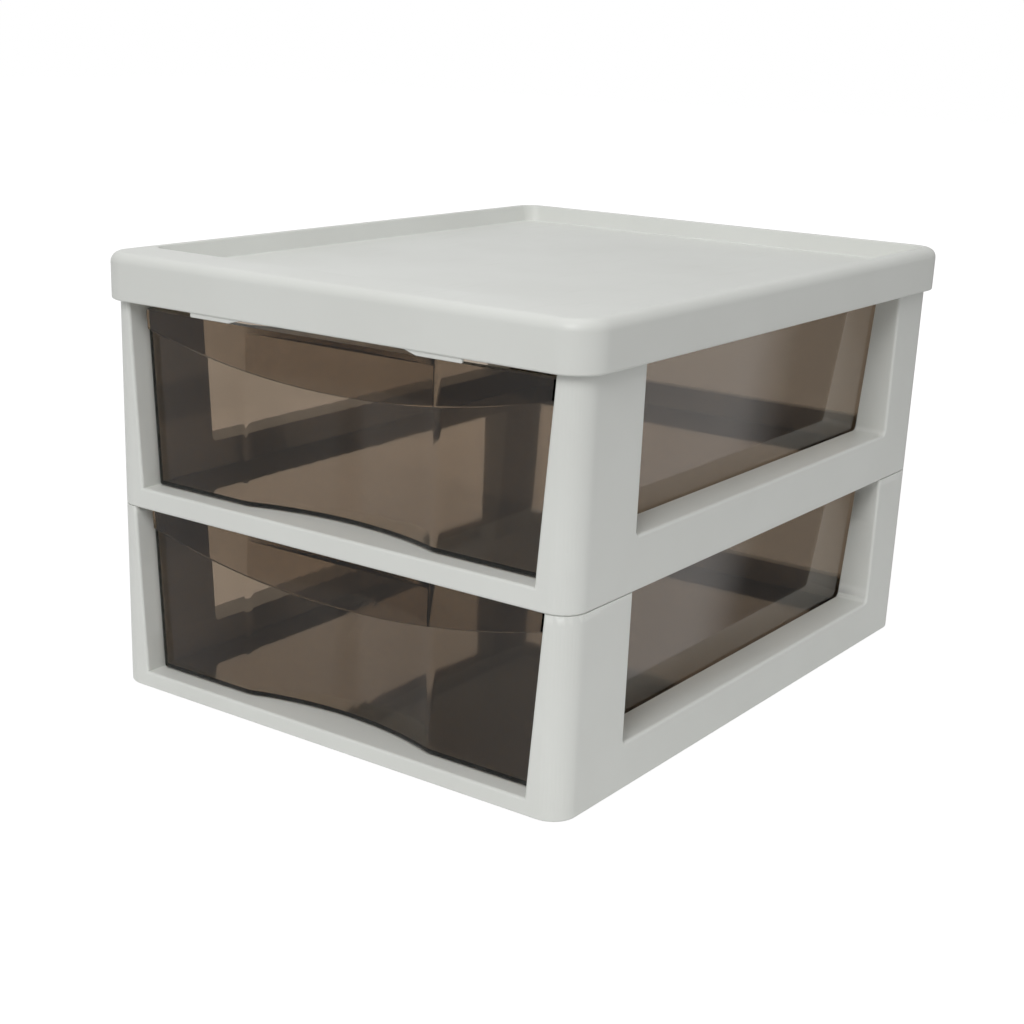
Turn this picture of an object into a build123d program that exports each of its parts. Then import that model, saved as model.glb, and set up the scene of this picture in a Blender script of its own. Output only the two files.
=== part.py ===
from build123d import *
from math import radians, tan
import os

# Desktop drawer unit: two stacked plastic tiers, a tray-topped cover and two smoky drawers.
# Millimetres, +Z up, front towards -Y, origin at the middle of the footprint on the desk.

# Plan and heights of the stacked tiers
tier_width = 258.0
tier_depth = 338.0
tier_corner_radius = 12.0
lower_tier_height = 90.0
upper_tier_height = 97.0
tier_wall = 2.5
tier_foot_round = 1.2

# Posts and rails of a tier; a post is widest at the floor, because the bay between the posts has draft
post_width = 18.0
front_post_depth = 48.0
rear_post_depth = 40.0
rear_rail_depth = 8.0
lower_front_rail_height = 8.0
lower_side_rail_height = 22.0
upper_front_rail_height = 10.0
upper_side_rail_height = 24.5
window_corner_radius = 2.5
opening_edge_round = 1.4
draft_degrees = 3.7

# Pegs on the lower posts that locate the upper tier
peg_height = 8.0
peg_clearance = 0.3

# Cover with its tray top, whose rim is broad along the front
cover_overhang = 4.0
cover_height = 21.5
cover_wall = 2.5
cover_panel = 2.5
tray_depth = 9.0
rim_width = 7.0
front_rim_width = 27.0
rim_slope = 2.0
rim_round = 5.0
tray_corner_radius = 9.0
skirt_foot_round = 1.0

# Two short tabs under the front of the cover's skirt, each with a sloped inner end
tab_length = 23.0
tab_slope = 10.0
tab_drop = 2.0
tab_thickness = 1.6
tab_spacing = 126.0

# Drawers: the front wall is upright, and the sides and the back lean outwards with the draft
drawer_wall = 2.2
drawer_floor = 2.2
drawer_setback = 9.2
drawer_side_clearance = 1.0
drawer_rear_clearance = 1.5
drawer_head_clearance = 2.2
drawer_running_gap = 0.2
drawer_front_radius = 2.5
drawer_rear_radius = 6.0
drawer_foot_round = 1.6

# Pull band across the top of a drawer front, the bowed recess behind it and the flange above the recess
band_proud = 2.6
band_root = 0.4
band_end_inset = 3.5
band_middle_drop = 23.0
band_end_drop = 8.5
flange_thickness = 3.2
recess_width = 106.0
recess_depth = 9.2
recess_blend = 14.0

# Length by which cuts run past what they cut
overrun = 5.0

# Places that follow from the sizes above
tier_front = -tier_depth / 2
tier_back = tier_depth / 2
draft_slope = tan(radians(draft_degrees))
bay_width = tier_width - 2 * post_width
bay_back = tier_back - rear_rail_depth
cover_base = lower_tier_height + upper_tier_height
cover_top = cover_base + cover_height
cover_seat = cover_top - tray_depth - cover_panel
drawer_front = tier_front + drawer_setback
drawer_back = bay_back - drawer_rear_clearance
drawer_width = bay_width - 2 * drawer_side_clearance
recess_radius = (recess_width ** 2 / 4 + recess_depth ** 2) / (2 * recess_depth)
recess_centre = drawer_front + recess_depth - recess_radius


def slab(width, front, back, bottom, top):
    """Block centred on X between two Y planes and two Z planes."""
    middle = Pos(0, (front + back) / 2, (bottom + top) / 2)
    return middle * Box(width, back - front, top - bottom)


def prism(width, depth, radius, bottom, top):
    """Upright block centred on the origin with rounded corners in plan."""
    return Pos(0, 0, bottom) * extrude(RectangleRounded(width, depth, radius), top - bottom)


def bay_form(spread, front, back, floor, bottom, top):
    """Space between the posts from one height to another, which widens with the draft from the floor up."""
    sections = []
    for level in (bottom, top):
        lean = spread + (level - floor) * draft_slope
        section = Rectangle(bay_width + 2 * lean, back + lean - front)
        sections.append(Pos(0, (front + back + lean) / 2, level) * section)
    return loft(sections)


def tier_form(inset, base, floor, sill, bottom, top):
    """Floor, rails and posts of a tier that stands at base, with every face drawn in by inset."""
    radius = max(tier_corner_radius - inset, tier_wall / 2)
    form = prism(tier_width - 2 * inset, tier_depth - 2 * inset, radius, bottom, top)
    above = top + overrun
    form -= bay_form(inset, tier_front - overrun, bay_back, floor, floor - inset, above)
    form -= bay_form(inset, bay_back - overrun, tier_back + overrun, floor, sill - inset, above)
    window_front = tier_front + front_post_depth - inset
    window_back = tier_back - rear_post_depth + inset
    window = slab(tier_width + 2 * overrun, window_front, window_back, sill - inset, above)
    window_feet = window.faces().sort_by(Axis.Z)[0].edges().filter_by(Axis.X)
    form -= fillet(window_feet, window_corner_radius + inset)
    return form


def opening_edges(form, base):
    """Edges round the front, side and rear openings on the outer faces of a tier."""
    faces = form.faces()
    outer_faces = [faces.sort_by(axis)[end] for axis in (Axis.X, Axis.Y) for end in (0, -1)]
    top = form.bounding_box().max.Z
    edges = []
    for face in outer_faces:
        for edge in face.outer_wire().edges():
            low = edge.bounding_box().min.Z
            upright_at_side = edge.bounding_box().max.Z > top - tier_wall and low < base + tier_wall
            on_top = low > top - tier_wall
            on_foot = edge.bounding_box().max.Z < base + tier_wall
            if not (upright_at_side or on_top or on_foot):
                edges.append(edge)
    return edges


def tier(base, front_rail_height, side_rail_height, post_top, pegs):
    """One hollow tier moulding, open underneath, with pegs on its posts where a tier stands on it."""
    floor = base + front_rail_height
    sill = base + side_rail_height
    outside = tier_form(0, base, floor, sill, base, post_top)
    outside = fillet(opening_edges(outside, base), opening_edge_round)
    outer_foot = outside.faces().sort_by(Axis.Z)[0].outer_wire().edges()
    outside = fillet(outer_foot, tier_foot_round)
    inside = tier_form(tier_wall, base, floor, sill, base - overrun, post_top - tier_wall)
    if pegs:
        peg_top = post_top + peg_height
        peg_inset = tier_wall + peg_clearance
        outside += tier_form(peg_inset, base, floor, sill, base + tier_wall, peg_top)
        inside += tier_form(peg_inset + tier_wall, base, floor, sill, base - overrun, peg_top - tier_wall)
    return outside - inside


def cover():
    """Tray-topped cover: rounded rim, hollow under its broad front, sloped tray walls, skirt and front tabs."""
    width = tier_width + 2 * cover_overhang
    depth = tier_depth + 2 * cover_overhang
    radius = tier_corner_radius + cover_overhang
    body = prism(width, depth, radius, cover_base, cover_top)
    body = fillet(body.faces().sort_by(Axis.Z)[-1].edges(), rim_round)
    body = fillet(body.faces().sort_by(Axis.Z)[0].edges(), skirt_foot_round)
    mouth_front = front_rim_width - depth / 2
    mouth_back = depth / 2 - rim_width
    inner_width = width - 2 * cover_wall
    inner_depth = depth - 2 * cover_wall
    inside = prism(inner_width, inner_depth, radius - cover_wall, cover_base - overrun, cover_top - cover_panel)
    below_tray = slab(width, -depth / 2, depth / 2, cover_base - overrun, cover_seat)
    below_front_rim = slab(width, -depth / 2, mouth_front - cover_wall, cover_base - overrun, cover_top)
    body -= inside & (below_tray + below_front_rim)
    mouth_width = width - 2 * rim_width
    mouth_depth = mouth_back - mouth_front
    mouth_middle = (mouth_front + mouth_back) / 2
    mouth = RectangleRounded(mouth_width, mouth_depth, tray_corner_radius + rim_slope)
    foot = RectangleRounded(mouth_width - 2 * rim_slope, mouth_depth - 2 * rim_slope, tray_corner_radius)
    foot_place = Pos(0, mouth_middle, cover_top - tray_depth)
    body -= loft([foot_place * foot, Pos(0, mouth_middle, cover_top) * mouth])
    tab_back = cover_wall - depth / 2
    tab_foot = cover_base - tab_drop
    tab_root = cover_base + skirt_foot_round
    for side in (-1, 1):
        inner = side * (tab_spacing - tab_length) / 2
        outer = side * (tab_spacing + tab_length) / 2
        slope_end = inner - side * tab_slope
        foot_line = [(inner, tab_foot), (outer, tab_foot)]
        root_line = [(outer, tab_root), (slope_end, tab_root)]
        shape = Polygon(*foot_line, *root_line, align=None)
        body += Pos(0, tab_back, 0) * extrude(Plane.XZ * shape, tab_thickness)
    return body


def drawer_plan(lean, spread):
    """Plan of a drawer with its bowed recess: sides and back moved out by lean, all walls by spread."""
    half = drawer_width / 2 + lean + spread
    front = drawer_front - spread
    back = drawer_back + lean + spread
    middle = (front + back) / 2
    plan = Pos(0, middle) * Rectangle(2 * half, back - front)
    plan -= Pos(0, recess_centre) * Circle(recess_radius - spread)
    beside_mouth = (half + recess_width / 2) / 2
    mouth = [v for v in plan.vertices() if abs(v.X) < beside_mouth]
    plan = fillet(mouth, recess_blend + spread)
    front_corners = [v for v in plan.vertices() if abs(v.X) > beside_mouth and v.Y < middle]
    plan = fillet(front_corners, drawer_front_radius + spread)
    rear_corners = [v for v in plan.vertices() if v.Y > middle]
    return fillet(rear_corners, drawer_rear_radius + spread)


def pull_band(base, lean, top):
    """Plate in front of a drawer's wall, straight along the top and dipping in the middle below."""
    depth = band_proud + band_root
    middle = drawer_front - band_proud + depth / 2
    width = drawer_width - 2 * band_end_inset
    foot = Pos(0, middle, base) * Rectangle(width, depth)
    head = Pos(0, middle, top) * Rectangle(width + 2 * lean, depth)
    reach = width / 2 + lean
    left_end = (-reach, top - band_end_drop)
    right_end = (reach, top - band_end_drop)
    upper_edge = Polyline(right_end, (reach, top), (-reach, top), left_end)
    lower_edge = ThreePointArc(left_end, (0, top - band_middle_drop), right_end)
    outline = Plane.XZ * make_face([upper_edge, lower_edge])
    return loft([foot, head]) & extrude(outline, tier_depth, both=True)


def drawer(base, top):
    """One open-topped drawer whose recess is closed above by a flange that carries the pull band."""
    lean = (top - base) * draft_slope
    body = loft([Pos(0, 0, base) * drawer_plan(0, 0), Pos(0, 0, top) * drawer_plan(lean, 0)], ruled=True)
    body = fillet(body.faces().sort_by(Axis.Z)[0].edges(), drawer_foot_round)
    body += pull_band(base, lean, top)
    flange_back = drawer_front + recess_depth + drawer_wall / 2
    body += slab(recess_width, drawer_front, flange_back, top - flange_thickness, top)
    inside = []
    for level in (base + drawer_floor, top + overrun):
        inside.append(Pos(0, 0, level) * drawer_plan((level - base) * draft_slope, -drawer_wall))
    return body - loft(inside, ruled=True)


def export(node, solid):
    export_step(solid, os.path.join("parts", node + ".step"))


os.makedirs("parts", exist_ok=True)
upper_base = lower_tier_height
lower_floor = lower_front_rail_height
upper_floor = upper_base + upper_front_rail_height
lower_head = lower_tier_height - drawer_head_clearance
upper_head = cover_base - tab_drop - drawer_head_clearance
lower_tier = tier(0, lower_front_rail_height, lower_side_rail_height, lower_tier_height, True)
upper_tier = tier(upper_base, upper_front_rail_height, upper_side_rail_height, cover_seat, False)
export("lower_tier_frame", lower_tier)
export("upper_tier_frame", upper_tier)
export("top_cover", cover())
export("lower_drawer", drawer(lower_floor + drawer_running_gap, lower_head))
export("upper_drawer", drawer(upper_floor + drawer_running_gap, upper_head))
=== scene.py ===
# %% [markdown]
# # A two-drawer desktop unit, dressed for its picture
# The real object is five plastic mouldings: two off-white tiers that stack, a tray-topped cover and two
# smoky drawers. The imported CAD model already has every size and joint, so it is loaded as a frame that
# nothing here moves. Blender's work is the surface: edges that a mould would round, a satin white plastic
# and a clear smoky one.

# %% Load the frame
import cmath
import math

import bmesh
import bpy
from mathutils import Matrix, Vector


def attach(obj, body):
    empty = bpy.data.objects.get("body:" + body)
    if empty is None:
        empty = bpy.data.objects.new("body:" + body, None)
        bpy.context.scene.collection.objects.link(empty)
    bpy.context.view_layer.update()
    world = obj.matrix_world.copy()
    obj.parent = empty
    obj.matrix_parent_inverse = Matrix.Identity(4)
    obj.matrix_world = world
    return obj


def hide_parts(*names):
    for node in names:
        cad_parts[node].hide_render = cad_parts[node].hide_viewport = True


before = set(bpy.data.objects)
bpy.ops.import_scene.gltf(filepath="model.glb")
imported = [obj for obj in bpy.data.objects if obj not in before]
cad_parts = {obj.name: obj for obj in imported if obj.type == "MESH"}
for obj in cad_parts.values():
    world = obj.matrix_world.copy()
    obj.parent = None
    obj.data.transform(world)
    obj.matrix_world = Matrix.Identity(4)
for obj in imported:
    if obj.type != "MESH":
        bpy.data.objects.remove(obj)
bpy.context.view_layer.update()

# %% [markdown]
# ## Writing node maths as plain arithmetic
# A material is a graph of nodes, and long graphs are hard to read when every link is a line of its own.
# `Wire` wraps an output socket, so that `0.4 + 0.1 * cloud` adds the Math nodes by itself. Geometry Nodes
# use the same Math nodes, so the cover further down is written with the same class.

# %% Wires
class Wire:
    """An output socket on which +, -, *, < and abs add Math nodes."""

    def __init__(self, finish, socket):
        self.finish = finish
        self.socket = socket

    def math(self, operation, *terms):
        return self.finish.node("ShaderNodeMath", {"operation": operation}, dict(enumerate(terms)))

    def __add__(self, other):
        return self.math("ADD", self, other)

    def __radd__(self, other):
        return self.math("ADD", other, self)

    def __sub__(self, other):
        return self.math("SUBTRACT", self, other)

    def __rsub__(self, other):
        return self.math("SUBTRACT", other, self)

    def __mul__(self, other):
        return self.math("MULTIPLY", self, other)

    def __rmul__(self, other):
        return self.math("MULTIPLY", other, self)

    def __lt__(self, other):
        return self.math("LESS_THAN", self, other)

    def __abs__(self):
        return self.math("ABSOLUTE", self)


print("wires add, subtract, multiply and compare")

# %% [markdown]
# ## One method for every other node
# A node has a type, settings and sockets, so one method can make them all. The settings come first,
# because some of them change which sockets there are. A socket takes a value, a wire, or a list of wires
# where several may go in. Three short helpers stand for what the finishes use again and again: noise, a
# spread range and a blend of colours.

# %% Finishes
class Finish:
    """One node tree, of a material or of the world, with a method that makes its nodes."""

    def __init__(self, owner):
        owner.use_nodes = True
        self.owner = owner
        self.tree = owner.node_tree
        self.tree.nodes.clear()

    def node(self, kind, settings=None, sockets=None, out=0):
        made = self.tree.nodes.new(kind)
        for name, value in (settings or {}).items():
            if name == "stops":
                self.set_stops(made.color_ramp.elements, value)
            else:
                setattr(made, name, value)
        for name, value in (sockets or {}).items():
            entries = value if isinstance(value, list) else [value]
            for entry in entries:
                if isinstance(entry, Wire):
                    self.tree.links.new(entry.socket, made.inputs[name])
                else:
                    made.inputs[name].default_value = entry
        return Wire(self, made.outputs[out]) if made.outputs else made

    def set_stops(self, stops, levels):
        """Grey stops on a colour ramp, each with a place and a level."""
        while len(stops) < len(levels):
            stops.new(1)
        for stop, (place, level) in zip(stops, levels):
            stop.position = place
            stop.color = (level, level, level, 1)

    def noise(self, place, scale, detail, stretch=None):
        """Noise of a given scale per metre, stretched along the axes where asked."""
        if stretch:
            place = self.node("ShaderNodeMapping", sockets={"Vector": place, "Scale": stretch})
        return self.node("ShaderNodeTexNoise", sockets={"Vector": place, "Scale": scale, "Detail": detail})

    def band(self, wire, low, high):
        """The wire's values from low to high spread over 0 to 1, and held there outside."""
        return self.node("ShaderNodeMapRange", sockets={"Value": wire, "From Min": low, "From Max": high})

    def blend(self, share, first, second):
        """A colour between two, by share."""
        return self.node("ShaderNodeMix", {"data_type": "RGBA"}, {0: share, 6: first, 7: second}, out=2)


NOISE_MIDDLE = (0.3, 0.7)
print("most of a noise lies between", NOISE_MIDDLE)

# %% [markdown]
# ## Off-white moulded plastic
# The frame of such a unit is moulded in an opaque white that is a little grey and a little green. It is
# satin, not glossy: the mould was lightly textured, and handling has polished it unevenly. So the colour
# drifts by a few percent, the roughness follows a slow cloud and some fine rubs, and a grain well under a
# millimetre breaks up the highlights through a bump.

# %% White plastic
WHITE_TONES = ((0.735, 0.748, 0.715, 1), (0.705, 0.716, 0.682, 1))
CLOUD_SCALE = 16
GRAIN_SCALE = 1400
GRAIN_STRENGTH = 0.25
GRAIN_HEIGHT = 0.00006
RUB_SCALE = 210
RUB_STRETCH = (1, 0.12, 0.35)
RUB_BAND = (0.58, 0.72)
SATIN = 0.36
WHITE_IOR = 1.49

white = Finish(bpy.data.materials.new("white_plastic"))
place = white.node("ShaderNodeTexCoord", out="Object")
cloud = white.noise(place, CLOUD_SCALE, 3)
grain = white.noise(place, GRAIN_SCALE, 2)
rub = white.band(white.noise(place, RUB_SCALE, 3, RUB_STRETCH), *RUB_BAND)
tone = white.blend(white.band(cloud, *NOISE_MIDDLE), *WHITE_TONES)
relief = {"Height": grain, "Strength": GRAIN_STRENGTH, "Distance": GRAIN_HEIGHT}
skin = white.node("ShaderNodeBsdfPrincipled", sockets={
    "Base Color": tone,
    "Roughness": SATIN + 0.1 * cloud + 0.08 * rub,
    "IOR": WHITE_IOR,
    "Normal": white.node("ShaderNodeBump", sockets=relief),
})
white.node("ShaderNodeOutputMaterial", sockets={"Surface": skin})
print("white plastic:", len(white.tree.nodes), "nodes")

# %% [markdown]
# ## Smoky clear plastic
# The drawers are clear plastic with a brown-grey dye, so what lies behind a wall shows through it darker
# and warmer. A wall seen along its length is nearly black, because the light crosses more dye there. That
# is what volume absorption does, so a good part of the dye is in the volume and the rest tints the
# surface. The surface is polished, with faint haze and hairline rubs where the drawer slides and is
# wiped.

# %% Smoky plastic
SURFACE_DYES = ((0.81, 0.755, 0.695, 1), (0.785, 0.725, 0.66, 1))
DEEP_DYE = (0.345, 0.232, 0.081, 1)
DEEP_DENSITY = 230.0
HAZE_SCALE = 22
HAIRLINE_SCALE = 300
HAIRLINE_STRETCH = (1, 0.04, 1)
HAIRLINE_BAND = (0.62, 0.74)
SWELL_SCALE = 14
SWELL_STRENGTH = 0.08
SWELL_HEIGHT = 0.0006
POLISH = 0.02
SMOKY_IOR = 1.54

smoky = Finish(bpy.data.materials.new("smoky_plastic"))
place = smoky.node("ShaderNodeTexCoord", out="Object")
haze = smoky.noise(place, HAZE_SCALE, 3)
hairline = smoky.band(smoky.noise(place, HAIRLINE_SCALE, 2, HAIRLINE_STRETCH), *HAIRLINE_BAND)
dye = smoky.blend(smoky.band(haze, *NOISE_MIDDLE), *SURFACE_DYES)
swell = smoky.noise(place, SWELL_SCALE, 1)
ripple = {"Height": swell, "Strength": SWELL_STRENGTH, "Distance": SWELL_HEIGHT}
clear = smoky.node("ShaderNodeBsdfPrincipled", sockets={
    "Base Color": dye,
    "Roughness": POLISH + 0.03 * haze + 0.03 * hairline,
    "IOR": SMOKY_IOR,
    "Transmission Weight": 1.0,
    "Normal": smoky.node("ShaderNodeBump", sockets=ripple),
})
depth = smoky.node("ShaderNodeVolumeAbsorption", sockets={"Color": DEEP_DYE, "Density": DEEP_DENSITY})
smoky.node("ShaderNodeOutputMaterial", sockets={"Surface": clear, "Volume": depth})
print("smoky plastic:", len(smoky.tree.nodes), "nodes")

# %% [markdown]
# ## Whole faces from loose triangles
# The tiers and the drawers have many openings and slopes that the CAD model already holds, so they are
# taken from it. A CAD mesh is loose triangles. A copy of it is merged, and its flat faces are made whole
# again. Then it is cut into thin slices, so that no face is long and thin where the shading turns round a
# corner.

# %% Copy nodes with whole faces
FLAT = math.radians(0.4)
MERGE = 1e-6
SLICE = 0.006


def slices(low, high):
    """Heights that part a moulding into slices of about one thickness."""
    count = round((high - low) / SLICE)
    return [low + (high - low) * step / count for step in range(1, count)]


def whole_faces(node):
    """A copy of a CAD node's mesh with merged points, whole flat faces and slices."""
    mesh = bpy.data.meshes.new(node + "_moulding")
    bm = bmesh.new()
    bm.from_mesh(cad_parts[node].data)
    bmesh.ops.remove_doubles(bm, verts=bm.verts, dist=MERGE)
    bmesh.ops.dissolve_limit(bm, angle_limit=FLAT, verts=bm.verts, edges=bm.edges)
    heights = [vert.co.z for vert in bm.verts]
    for height in slices(min(heights), max(heights)):
        everything = bm.verts[:] + bm.edges[:] + bm.faces[:]
        bmesh.ops.bisect_plane(bm, geom=everything, plane_co=(0, 0, height), plane_no=(0, 0, 1))
    bm.to_mesh(mesh)
    bm.free()
    return mesh


copied = ("lower_tier_frame", "upper_tier_frame", "lower_drawer", "upper_drawer")
meshes = {node: whole_faces(node) for node in copied}
print("faces", {node: len(mesh.polygons) for node, mesh in meshes.items()})

# %% [markdown]
# ## A cover that follows a rule
# The cover is one outline carried round a rounded rectangle: from the panel's underside down the inside
# of the skirt, up its outside, over the rim and down into the tray. It could be copied like the tiers,
# but a sweep lays even strips along every round, and those shade smoothly. Each corner of the outline has
# a distance inward from the outer wall, a height and a round. The box of the CAD node gives the cover's
# place, and the heights are counted down from its top.

# %% Corners of the outline
COVER_HEIGHT = 0.0215
COVER_WALL = 0.0025
COVER_PANEL = 0.0025
TRAY_DEPTH = 0.009
RIM_WIDTH = 0.007
RIM_SLOPE = 0.002
RIM_ROUND = 0.005
FOOT_ROUND = 0.001
INNER_FOOT_ROUND = 0.0006
SOFT_ROUND = 0.0008

cover_points = [vert.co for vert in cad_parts["top_cover"].data.vertices]
cover_low = Vector([min(point[axis] for point in cover_points) for axis in range(3)])
cover_high = Vector([max(point[axis] for point in cover_points) for axis in range(3)])
cover_top = cover_high.z
tray_floor = cover_top - TRAY_DEPTH
underside = tray_floor - COVER_PANEL
skirt_foot = cover_top - COVER_HEIGHT
tray_inset = RIM_WIDTH + RIM_SLOPE
panel_inset = tray_inset + RIM_SLOPE
skirt_corners = (
    (panel_inset, underside, 0),
    (COVER_WALL, underside, SOFT_ROUND),
    (COVER_WALL, skirt_foot, INNER_FOOT_ROUND),
    (0, skirt_foot, FOOT_ROUND),
    (0, cover_top, RIM_ROUND),
    (RIM_WIDTH, cover_top, 0),
)
tray_corners = (
    (0, cover_top, 0),
    (RIM_WIDTH, cover_top, SOFT_ROUND),
    (tray_inset, tray_floor, SOFT_ROUND),
    (panel_inset, tray_floor, 0),
)
print("cover from", tuple(cover_low), "to", tuple(cover_high))

# %% [markdown]
# ## Rounding the outline
# A round touches both legs of its corner, and its centre lies on the line that halves the angle between
# them. Complex numbers serve as points here, because multiplying by one turns a point. The points of the
# tray are marked with an attribute, so that the tree can tell them from the others after the sweep.

# %% Outline of the cover
SKIRT_STEPS = 6
TRAY_STEPS = 5


def rounded(corners, steps):
    """Points along a line of corners (inward, height, radius), from its first corner to its last round."""
    points = [complex(*corners[0][:2])]
    for before, (inward, height, radius), after in zip(corners, corners[1:], corners[2:]):
        here = complex(inward, height)
        legs = [complex(*end[:2]) - here for end in (before, after)]
        legs = [leg / abs(leg) for leg in legs]
        half = abs(cmath.phase(legs[1] / legs[0])) / 2
        middle = (legs[0] + legs[1]) / abs(legs[0] + legs[1])
        centre = here + middle * radius / math.sin(half)
        first, last = (here + leg * radius / math.tan(half) - centre for leg in legs)
        turn = cmath.phase(last / first)
        points += [centre + first * cmath.rect(1, turn * step / steps) for step in range(steps + 1)]
    return points


skirt = rounded(skirt_corners, SKIRT_STEPS)
tray = rounded(tray_corners, TRAY_STEPS)[1:] + [complex(panel_inset, tray_floor)]
line = [(-point.real, -point.imag, 0) for point in skirt + tray]
outline = bpy.data.meshes.new("cover_outline")
outline.from_pydata(line, [(step, step + 1) for step in range(len(line) - 1)], [])
in_tray = outline.attributes.new("in_tray", "FLOAT", "POINT")
in_tray.data.foreach_set("value", [0.0] * len(skirt) + [1.0] * len(tray))
print("outline", len(line), "points, of which", len(tray), "are in the tray")

# %% [markdown]
# ## A tree with named sizes
# A Geometry Nodes tree takes its sizes as named inputs, which are set on a modifier by their sockets.
# `Rule` makes such a tree and has the same method for its nodes as a finish has.

# %% Trees of Geometry Nodes
class Rule(Finish):
    """A Geometry Nodes tree that takes an outline, named sizes and a material and gives one piece."""

    def __init__(self, name, sizes):
        self.tree = bpy.data.node_groups.new(name, "GeometryNodeTree")
        sockets = self.tree.interface
        sockets.new_socket("Outline", in_out="INPUT", socket_type="NodeSocketGeometry")
        for size in sizes:
            sockets.new_socket(size, in_out="INPUT", socket_type="NodeSocketFloat")
        sockets.new_socket("Material", in_out="INPUT", socket_type="NodeSocketMaterial")
        sockets.new_socket("Piece", in_out="OUTPUT", socket_type="NodeSocketGeometry")
        given = self.tree.nodes.new("NodeGroupInput").outputs
        self.given = {socket.name: Wire(self, socket) for socket in given if socket.name}

    def moved(self, shape, axis, distance):
        """A shape with its points moved along one axis."""
        offset = self.node("ShaderNodeCombineXYZ", sockets={axis: distance})
        return self.node("GeometryNodeSetPosition", sockets={"Geometry": shape, "Offset": offset})


COVER_CORNER = 0.016
FRONT_RIM_WIDTH = 0.027

cover_sizes = {
    "Width": cover_high.x - cover_low.x,
    "Depth": cover_high.y - cover_low.y,
    "Corner": COVER_CORNER,
    "Front Set Back": FRONT_RIM_WIDTH - RIM_WIDTH,
    "Tray Floor": tray_floor,
    "Underside": underside,
}
sweep = Rule("cover_sweep", cover_sizes)
given = sweep.given
print("cover sizes", {name: round(size, 4) for name, size in cover_sizes.items()})

# %% [markdown]
# ## Carrying the outline round
# Curve to Mesh carries the outline along a rectangle with filleted corners. Its rim is equally wide all
# round then. The real rim is broad along the front, so the points of the tray that lie in the front half
# are moved back. The tray's side walls run straight from front to back, so the move only shortens them.

# %% Sweep the ring
CORNER_STEPS = 14

plan = {"Width": given["Width"], "Height": given["Depth"]}
path = sweep.node("GeometryNodeCurvePrimitiveQuadrilateral", sockets=plan)
fillet = {"Curve": path, "Count": CORNER_STEPS, "Radius": given["Corner"]}
path = sweep.node("GeometryNodeFilletCurve", {"mode": "POLY"}, fillet)
path = sweep.node("GeometryNodeSetCurveNormal", {"mode": "Z_UP"}, {"Curve": path})
section = sweep.node("GeometryNodeMeshToCurve", sockets={"Mesh": given["Outline"]})
ring = sweep.node("GeometryNodeCurveToMesh", sockets={"Curve": path, "Profile Curve": section})
spot = sweep.node("GeometryNodeInputPosition")
along = sweep.node("ShaderNodeSeparateXYZ", sockets={"Vector": spot}, out="Y")
tray_mark = sweep.node("GeometryNodeInputNamedAttribute", {"data_type": "FLOAT"}, {"Name": "in_tray"})
ring = sweep.moved(ring, "Y", given["Front Set Back"] * tray_mark * (along < 0.0))
print("ring:", len(sweep.tree.nodes), "nodes")

# %% [markdown]
# ## Closing the cover
# The ring ends in two loops of open edges, one in the tray and one below it. An open edge has a single
# face beside it, and its height tells which loop it belongs to. Fill Curve makes a flat panel of each
# loop at height zero, so the panel is lifted to its place. Then everything is merged into one closed
# piece.

# %% Fill the two panels
OPEN_EDGE = 1.5
NEAR_HEIGHT = 0.0002
WELD = 0.00001

height = sweep.node("ShaderNodeSeparateXYZ", sockets={"Vector": spot}, out="Z")
faces = sweep.node("GeometryNodeInputMeshEdgeNeighbors")
shapes = [ring]
for panel_height in (given["Tray Floor"], given["Underside"]):
    loop = (faces < OPEN_EDGE) * (abs(height - panel_height) < NEAR_HEIGHT)
    rim = sweep.node("GeometryNodeMeshToCurve", sockets={"Mesh": ring, "Selection": loop})
    panel = sweep.node("GeometryNodeFillCurve", {"mode": "NGONS"}, {"Curve": rim})
    shapes.append(sweep.moved(panel, "Z", panel_height))
piece = sweep.node("GeometryNodeJoinGeometry", sockets={"Geometry": shapes})
piece = sweep.node("GeometryNodeMergeByDistance", sockets={"Geometry": piece, "Distance": WELD})
piece = sweep.node("GeometryNodeRealizeInstances", sockets={"Geometry": piece})
piece = sweep.node("GeometryNodeSetMaterial", sockets={"Geometry": piece, "Material": given["Material"]})
sweep.node("NodeGroupOutput", sockets={"Piece": piece})
print("cover sweep:", len(sweep.tree.nodes), "nodes")

# %% [markdown]
# ## The cover's mesh
# The tree works on a holder, an object whose mesh is the outline. Its sizes are set there by the
# identifiers of their sockets. The result is taken as a plain mesh, and the holder goes away again.

# %% Take the cover's mesh
holder = bpy.data.objects.new("cover_holder", outline)
bpy.context.scene.collection.objects.link(holder)
modifier = holder.modifiers.new("sweep", "NODES")
modifier.node_group = sweep.tree
values = dict(cover_sizes, Material=white.owner)
for socket in sweep.tree.interface.items_tree:
    if socket.name in values:
        modifier[socket.identifier] = values[socket.name]
evaluated = holder.evaluated_get(bpy.context.evaluated_depsgraph_get())
meshes["top_cover"] = bpy.data.meshes.new_from_object(evaluated)
bpy.data.objects.remove(holder)
print("cover faces", len(meshes["top_cover"].polygons))

# %% [markdown]
# ## Tabs under the skirt
# Two short tabs hang under the front of the skirt. Each is a flat prism with a sloped inner end, simple
# enough to be made point by point, and the other is its mirror image. A mirrored prism is inside out, so
# the normals are worked out again at the end.

# %% Add the tabs
TAB_SPACING = 0.126
TAB_LENGTH = 0.023
TAB_SLOPE = 0.01
TAB_THICKNESS = 0.0016

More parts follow.
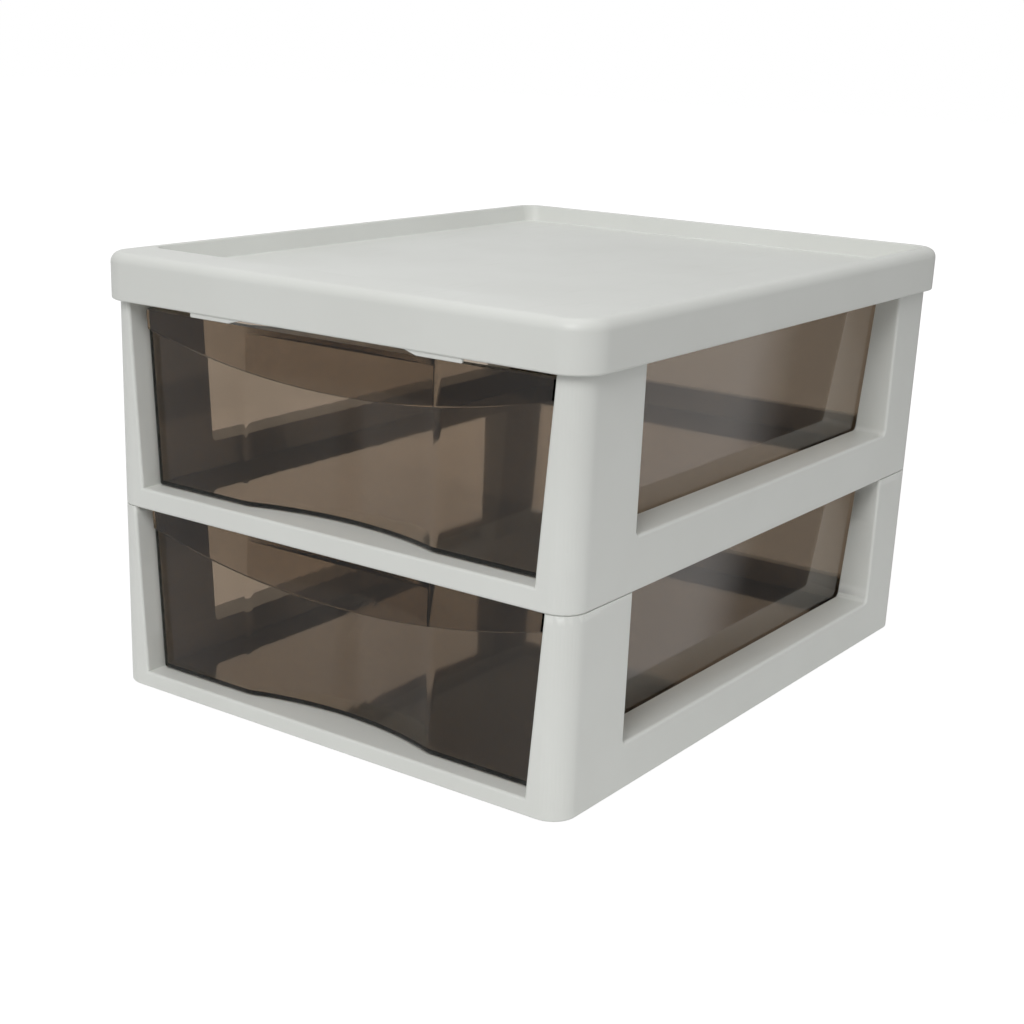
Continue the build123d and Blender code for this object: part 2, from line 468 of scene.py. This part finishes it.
tab_back = cover_low.y + COVER_WALL
tab_front = tab_back - TAB_THICKNESS
tab_foot = cover_low.z
tab_root = skirt_foot + FOOT_ROUND
tab_inner = (TAB_SPACING - TAB_LENGTH) / 2
tab_outer = (TAB_SPACING + TAB_LENGTH) / 2
slope_end = tab_inner - TAB_SLOPE
tab = ((tab_inner, tab_foot), (tab_outer, tab_foot), (tab_outer, tab_root), (slope_end, tab_root))
bm = bmesh.new()
bm.from_mesh(meshes["top_cover"])
for side in (-1, 1):
    ends = [[bm.verts.new((side * x, y, z)) for x, z in tab] for y in (tab_front, tab_back)]
    for end in ends:
        bm.faces.new(end)
    for step in range(len(tab)):
        bm.faces.new((ends[0][step - 1], ends[0][step], ends[1][step], ends[1][step - 1]))
bmesh.ops.recalc_face_normals(bm, faces=bm.faces)
print("with tabs", len(bm.faces), "open edges", sum(len(edge.link_faces) != 2 for edge in bm.edges))
bm.to_mesh(meshes["top_cover"])
bm.free()

# %% [markdown]
# ## Mouldings with softened edges
# A moulding has no knife edges: each edge is rounded by half a millimetre or so, and that thin round is
# what catches the light along a rail. So a bevel goes on the edges that are still sharp, and weighted
# normals keep the large faces flat beside it. The piece then rides on its body and stands for its CAD
# node.

# %% Finish the five mouldings
SHARP = math.radians(35)
WHITE_ROUND = 0.0005
SMOKY_ROUND = 0.0004


def moulding(node, body, finish, edge_round):
    """A mesh with rounded edges, which replaces a CAD node on its body."""
    mesh = meshes[node]
    mesh.materials.clear()
    mesh.materials.append(finish.owner)
    mesh.shade_smooth()
    piece = bpy.data.objects.new(node + "_moulding", mesh)
    bpy.context.scene.collection.objects.link(piece)
    soften = piece.modifiers.new("soften", "BEVEL")
    soften.limit_method = "ANGLE"
    soften.angle_limit = SHARP
    soften.width = edge_round
    soften.segments = 2
    soften.use_clamp_overlap = True
    soften.harden_normals = False
    even = piece.modifiers.new("even", "WEIGHTED_NORMAL")
    even.keep_sharp = True
    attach(piece, body)
    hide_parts(node)
    print(piece.name, "faces", len(mesh.polygons))


for node in ("lower_tier_frame", "upper_tier_frame", "top_cover"):
    moulding(node, "cabinet", white, WHITE_ROUND)
for node in ("lower_drawer", "upper_drawer"):
    moulding(node, node, smoky, SMOKY_ROUND)

# %% [markdown]
# ## The camera
# The photograph was taken from the right of the front, a little above the cover, and with the camera
# slightly turned. Its place, direction and lens come from a fit to the straight edges of the unit. The
# optical centre isn't the middle of the cropped picture, so a small shift stands for the crop.

# %% Camera
IMAGE_SIDE = 1024
SENSOR_MM = 36.0
FOCAL_PX = 1721.4
CENTRE_PX = (470, 600)
TURN, TILT, ROLL = (math.radians(angle) for angle in (35.752, 18.598, 1.92))
STANDPOINT = Vector((0.470485, -0.711119, 0.312599))
NEAREST, FARTHEST = 0.01, 50

ahead = Vector((-math.sin(TURN) * math.cos(TILT), math.cos(TURN) * math.cos(TILT), -math.sin(TILT)))
across = Vector((math.cos(TURN), math.sin(TURN), 0))
upward = across.cross(ahead)
right = math.cos(ROLL) * across + math.sin(ROLL) * upward
up = math.cos(ROLL) * upward - math.sin(ROLL) * across
lens = bpy.data.cameras.new("camera")
lens.sensor_width = SENSOR_MM
lens.lens = FOCAL_PX / IMAGE_SIDE * SENSOR_MM
lens.shift_x = (IMAGE_SIDE / 2 - CENTRE_PX[0]) / IMAGE_SIDE
lens.shift_y = (CENTRE_PX[1] - IMAGE_SIDE / 2) / IMAGE_SIDE
lens.clip_start = NEAREST
lens.clip_end = FARTHEST
camera = bpy.data.objects.new("camera", lens)
camera.matrix_world = Matrix.Translation(STANDPOINT) @ Matrix((right, up, -ahead)).transposed().to_4x4()
bpy.context.scene.collection.objects.link(camera)
bpy.context.scene.camera = camera
print("lens", round(lens.lens, 2), "mm, shift", round(lens.shift_x, 4), round(lens.shift_y, 4))

# %% [markdown]
# ## Telling rays apart
# The picture's ground is plain white, but the polished drawers mirror a room that is bright in some
# directions and dim in others. Light Path tells what kind of ray has met the floor or the sky, so each
# kind can be given its own level. The room is a panorama: a radial gradient gives the angle of a
# direction, and a ramp turns the angle into a level.

# %% Kinds of rays and the panorama
PANORAMA = (
    (-180, 0.8), (-172, 0.8), (-160, 0.35), (-136, 0.55), (-133, 0.35), (-127, 0.35),
    (-124, 0.5), (-60, 0.35), (20, 0.6), (45, 0.66), (64.8, 0.68), (65.6, 0.08),
    (90, 0.4), (120, 0.5), (125, 0.78), (180, 0.8),
)


def ray_kinds(finish):
    """Wires that are 1 for rays from the camera, off a gloss, out of a clear wall, or gathered there."""
    path = finish.node("ShaderNodeLightPath").socket.node.outputs
    kinds = ("Is Camera Ray", "Is Glossy Ray", "Is Transmission Ray", "Diffuse Depth")
    eye, gloss, clear, bounces = (Wire(finish, path[kind]) for kind in kinds)
    seen = bounces < 0.5
    return eye, gloss * (1 - clear) * seen, clear * seen, clear * (1 - seen)


def panorama(finish, place):
    """The brightness of the room around the unit, by the angle from +X in degrees."""
    angle = finish.node("ShaderNodeTexGradient", {"gradient_type": "RADIAL"}, {"Vector": place})
    stops = [(degrees / 360 + 0.5, level) for degrees, level in PANORAMA]
    return finish.node("ShaderNodeValToRGB", {"stops": stops}, {"Fac": angle})


print("panorama", len(PANORAMA), "stops")

# %% [markdown]
# ## The sky
# The camera sees white. Rays that a gloss or a clear wall sends on see the panorama, brighter above the
# horizon for those that come through a wall. Rays that gather light meet a calm level, or a brighter one
# when they left through a clear wall, because no lamp shines in through a refracting one.

# %% Sky
SKY_LEVEL = 0.44
THROUGH_LEVEL = 2.0
BEYOND_LEVEL = 2.3
HORIZON_BLUR = 0.05

sky = Finish(bpy.data.worlds.new("studio"))
bpy.context.scene.world = sky.owner
eye, gloss, clear, gathered = ray_kinds(sky)
heading = sky.node("ShaderNodeTexCoord", out="Generated")
climb = sky.node("ShaderNodeSeparateXYZ", sockets={"Vector": heading}, out="Z")
beyond = 1 + (BEYOND_LEVEL - 1) * sky.band(climb, 0, HORIZON_BLUR)
level = SKY_LEVEL * (1 - eye - gloss - clear - gathered) + eye + THROUGH_LEVEL * gathered
level = level + (gloss + beyond * clear) * panorama(sky, heading)
glow = sky.node("ShaderNodeBackground", sockets={"Color": (1, 1, 1, 1), "Strength": level})
sky.node("ShaderNodeOutputWorld", sockets={"Surface": glow})
print("sky", SKY_LEVEL, "for gathered light,", len(sky.tree.nodes), "nodes")

# %% [markdown]
# ## A pale floor
# The unit stands on a pale sheet that runs out into the white ground. Near the unit the sheet takes a
# little shadow, and farther off it only glows. It is darker there for the light that it gives back, so
# that the sides of the unit don't wash out. Polished rays pass through the floor and see the panorama, as
# if the sheet were small.

# %% Floor
SHEET_TONES = ((0.95, 0.95, 0.95, 1), (0.2, 0.2, 0.2, 1))
SHEET_NEAR, SHEET_FAR = 0.45, 0.8
FLOOR_GLOW = 1.1
GLOW_SHARE = 0.85
FLOOR_REACH = 6.0
FLOOR_HEIGHT = -0.0002

pale = Finish(bpy.data.materials.new("pale_floor"))
eye, gloss, clear, gathered = ray_kinds(pale)
place = pale.node("ShaderNodeTexCoord", out="Object")
distance = pale.node("ShaderNodeVectorMath", {"operation": "LENGTH"}, {0: place}, out="Value")
away = pale.band(distance, SHEET_NEAR, SHEET_FAR)
matt = pale.node("ShaderNodeBsdfDiffuse", sockets={"Color": pale.blend(away, *SHEET_TONES)})
strength = FLOOR_GLOW * eye + THROUGH_LEVEL * gathered
lit = pale.node("ShaderNodeEmission", sockets={"Color": (1, 1, 1, 1), "Strength": strength})
own = eye * (GLOW_SHARE + (1 - GLOW_SHARE) * away) + gathered
ground = pale.node("ShaderNodeMixShader", sockets={0: own, 1: matt, 2: lit})
open_view = pale.node("ShaderNodeBsdfTransparent")
ground = pale.node("ShaderNodeMixShader", sockets={0: gloss + clear, 1: ground, 2: open_view})
pale.node("ShaderNodeOutputMaterial", sockets={"Surface": ground})

corners = [(x * FLOOR_REACH, y * FLOOR_REACH, 0) for x, y in ((-1, -1), (1, -1), (1, 1), (-1, 1))]
floor_mesh = bpy.data.meshes.new("floor")
floor_mesh.from_pydata(corners, [], [(0, 1, 2, 3)])
floor_mesh.materials.append(pale.owner)
floor = bpy.data.objects.new("floor", floor_mesh)
floor.location.z = FLOOR_HEIGHT
bpy.context.scene.collection.objects.link(floor)
print("floor", 2 * FLOOR_REACH, "m wide")

# %% [markdown]
# ## Lamps
# A large soft lamp stands to the right of the front and above it, so the front is brighter than the right
# side. A weaker one hangs over the unit and lifts the tray top.

# %% Lamps
UNIT_MIDDLE = Vector((0, 0, 0.1))
LAMPS = (
    ("front_lamp", (0.56, -1.54, 1.57), 1.0, 21),
    ("top_lamp", (0.0, 0.1, 1.9), 1.2, 4.5),
)


def lamp(name, place, side, watts):
    """A square soft lamp that looks at the middle of the unit."""
    light = bpy.data.lights.new(name, "AREA")
    light.size = side
    light.energy = watts
    holder = bpy.data.objects.new(name, light)
    holder.location = place
    holder.rotation_euler = (UNIT_MIDDLE - Vector(place)).to_track_quat("-Z", "Y").to_euler()
    bpy.context.scene.collection.objects.link(holder)
    print(name, watts, "W")


for name, place, side, watts in LAMPS:
    lamp(name, place, side, watts)
bpy.context.scene.view_settings.view_transform = "Standard"
